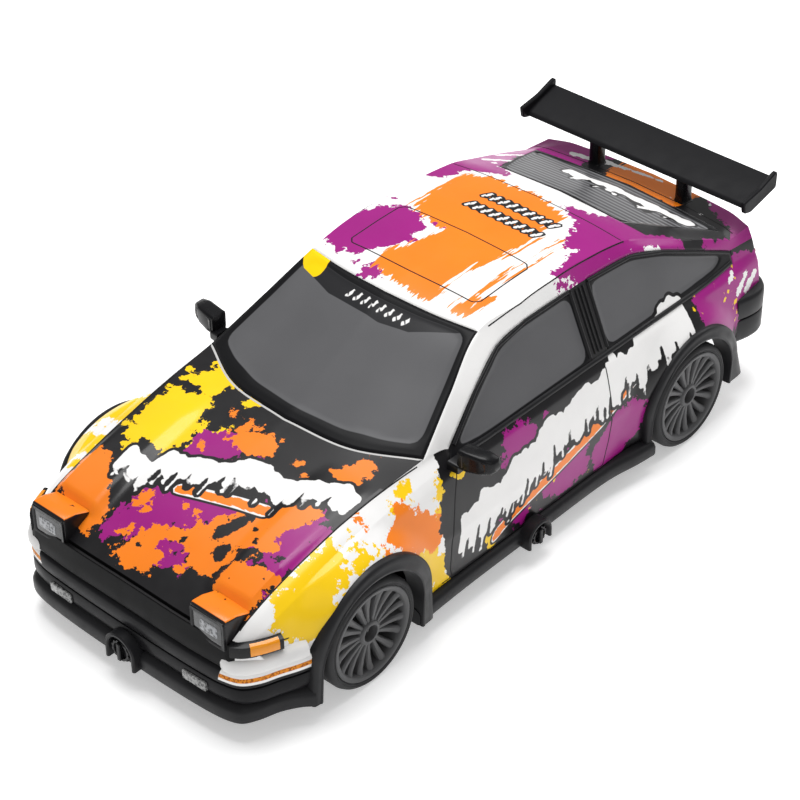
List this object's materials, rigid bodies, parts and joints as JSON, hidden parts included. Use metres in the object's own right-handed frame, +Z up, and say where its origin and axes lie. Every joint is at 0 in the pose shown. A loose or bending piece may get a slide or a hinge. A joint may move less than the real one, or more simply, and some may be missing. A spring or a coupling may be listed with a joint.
{
  "type": "rc drift car",
  "caption": "Radio-controlled drift car: hatchback coupe shell with rear wing that lifts off a driven chassis with steering, gears and latches.",
  "frame": {"origin": "ground level under the middle of the car's bounding box", "axes": "+Z up, the car faces -Y, +X to the car's left"},
  "size_m": [0.0876, 0.1804, 0.0581],
  "materials": {
    "painted_plastic": "glossy multicolour film",
    "smoked_plastic": "smooth, smoked",
    "black_plastic": "satin moulded",
    "chassis_plastic": "fine-grained moulded",
    "clear_plastic": "polished, clear",
    "amber_plastic": "polished, tinted",
    "red_plastic": "polished, tinted",
    "grey_plastic": "satin moulded",
    "tyre_plastic": "matte moulded",
    "gear_nylon": "satin moulded",
    "steel": "turned",
    "battery_wrap": "shrink film",
    "board_green": "solder mask"
  },
  "bodies": {
    "chassis": {"chassis_tub": "chassis_plastic", "chassis_deck": "chassis_plastic", "circuit_board": "board_green", "battery_pack": "battery_wrap", "battery_door": "chassis_plastic", "front_gearbox": "chassis_plastic", "rear_gearbox": "chassis_plastic", "drive_motor": "steel", "steering_servo": "black_plastic"},
    "shell": {"body_shell": "painted_plastic", "windscreen": "smoked_plastic", "rear_window": "smoked_plastic", "door_window_left": "smoked_plastic", "door_window_right": "smoked_plastic", "quarter_window_left": "smoked_plastic", "quarter_window_right": "smoked_plastic", "headlight_pod_left": "black_plastic", "headlight_pod_right": "black_plastic", "headlight_lens_left": "clear_plastic", "headlight_lens_right": "clear_plastic", "front_bumper": "painted_plastic", "fog_lamp_left": "clear_plastic", "fog_lamp_right": "clear_plastic", "front_lip": "black_plastic", "marker_lamp_left": "amber_plastic", "marker_lamp_right": "amber_plastic", "rear_bumper": "black_plastic", "tail_lamp_left": "red_plastic", "tail_lamp_right": "red_plastic", "side_skirt_left": "black_plastic", "side_skirt_right": "black_plastic", "mirror_left": "black_plastic", "mirror_right": "black_plastic", "wing_blade": "black_plastic", "wing_strut_left": "black_plastic", "wing_strut_right": "black_plastic"},
    "front_latch": {"latch_front": "black_plastic"},
    "left_latch": {"latch_left": "black_plastic"},
    "right_latch": {"latch_right": "black_plastic"},
    "switch": {"power_switch": "black_plastic"},
    "pinion": {"motor_pinion": "steel"},
    "centre_shaft": {"drive_shaft": "steel", "spur_gear": "gear_nylon"},
    "rear_wheels": {"rear_axle": "steel", "rim_rear_left": "grey_plastic", "rim_rear_right": "grey_plastic", "tyre_rear_left": "tyre_plastic", "tyre_rear_right": "tyre_plastic"},
    "front_shaft": {"front_axle": "steel"},
    "knuckle_left": {"steering_knuckle_left": "chassis_plastic"},
    "knuckle_right": {"steering_knuckle_right": "chassis_plastic"},
    "front_wheel_left": {"stub_axle_left": "steel", "rim_front_left": "grey_plastic", "tyre_front_left": "tyre_plastic"},
    "front_wheel_right": {"stub_axle_right": "steel", "rim_front_right": "grey_plastic", "tyre_front_right": "tyre_plastic"},
    "servo_horn": {"servo_arm": "gear_nylon"},
    "track_rod": {"tie_rod": "chassis_plastic"}
  },
  "joints": [
    {"name": "shell_lift", "type": "slide", "parent": "chassis", "child": "shell", "axis": [0, 0, 1], "range_m": [0, 0.06]},
    {"name": "front_latch_turn", "type": "hinge", "parent": "chassis", "child": "front_latch", "pos_m": [0, -0.086, 0.0084], "axis": [0, 1, 0], "range_deg": [0, 90]},
    {"name": "left_latch_turn", "type": "hinge", "parent": "chassis", "child": "left_latch", "pos_m": [0.038, -0.0015, 0.0069], "axis": [1, 0, 0], "range_deg": [0, 90]},
    {"name": "right_latch_turn", "type": "hinge", "parent": "chassis", "child": "right_latch", "pos_m": [-0.038, -0.0015, 0.0069], "axis": [1, 0, 0], "range_deg": [0, 90]},
    {"name": "switch_slide", "type": "slide", "parent": "chassis", "child": "switch", "axis": [0, 1, 0], "range_m": [0, 0.003]},
    {"name": "rear_axle_spin", "type": "hinge", "parent": "chassis", "child": "rear_wheels", "pos_m": [0, 0.054, 0.013], "axis": [1, 0, 0], "continuous": true},
    {"name": "centre_shaft_spin", "type": "hinge", "parent": "chassis", "child": "centre_shaft", "pos_m": [0, 0, 0.013], "axis": [0, 1, 0], "continuous": true},
    {"name": "pinion_spin", "type": "hinge", "parent": "chassis", "child": "pinion", "pos_m": [-0.01, 0.0305, 0.013], "axis": [0, 1, 0], "continuous": true},
    {"name": "front_axle_spin", "type": "hinge", "parent": "chassis", "child": "front_shaft", "pos_m": [0, -0.054, 0.013], "axis": [1, 0, 0], "continuous": true},
    {"name": "servo_turn", "type": "hinge", "parent": "chassis", "child": "servo_horn", "pos_m": [0, -0.073, 0.0154], "axis": [0, 0, 1], "range_deg": [-28, 28]},
    {"name": "track_rod_slide", "type": "slide", "parent": "chassis", "child": "track_rod", "axis": [1, 0, 0], "range_m": [-0.00376, 0.00376]},
    {"name": "steer_left", "type": "hinge", "parent": "chassis", "child": "knuckle_left", "pos_m": [0.029, -0.054, 0.013], "axis": [0, 0, 1], "range_deg": [-20, 20]},
    {"name": "steer_right", "type": "hinge", "parent": "chassis", "child": "knuckle_right", "pos_m": [-0.029, -0.054, 0.013], "axis": [0, 0, 1], "range_deg": [-20, 20]},
    {"name": "front_left_spin", "type": "hinge", "parent": "knuckle_left", "child": "front_wheel_left", "pos_m": [0.029, -0.054, 0.013], "axis": [1, 0, 0], "continuous": true},
    {"name": "front_right_spin", "type": "hinge", "parent": "knuckle_right", "child": "front_wheel_right", "pos_m": [-0.029, -0.054, 0.013], "axis": [1, 0, 0], "continuous": true}
  ],
  "couplings": [
    {"joint": "centre_shaft_spin", "follows": "rear_axle_spin", "ratio": 2},
    {"joint": "pinion_spin", "follows": "rear_axle_spin", "ratio": -7.5},
    {"joint": "front_axle_spin", "follows": "rear_axle_spin", "ratio": 1},
    {"joint": "front_left_spin", "follows": "rear_axle_spin", "ratio": 1},
    {"joint": "front_right_spin", "follows": "rear_axle_spin", "ratio": 1},
    {"joint": "servo_turn", "follows": "track_rod_slide", "rad_per_m": -130},
    {"joint": "steer_left", "follows": "track_rod_slide", "rad_per_m": 92.85},
    {"joint": "steer_right", "follows": "track_rod_slide", "rad_per_m": 92.85}
  ]
}
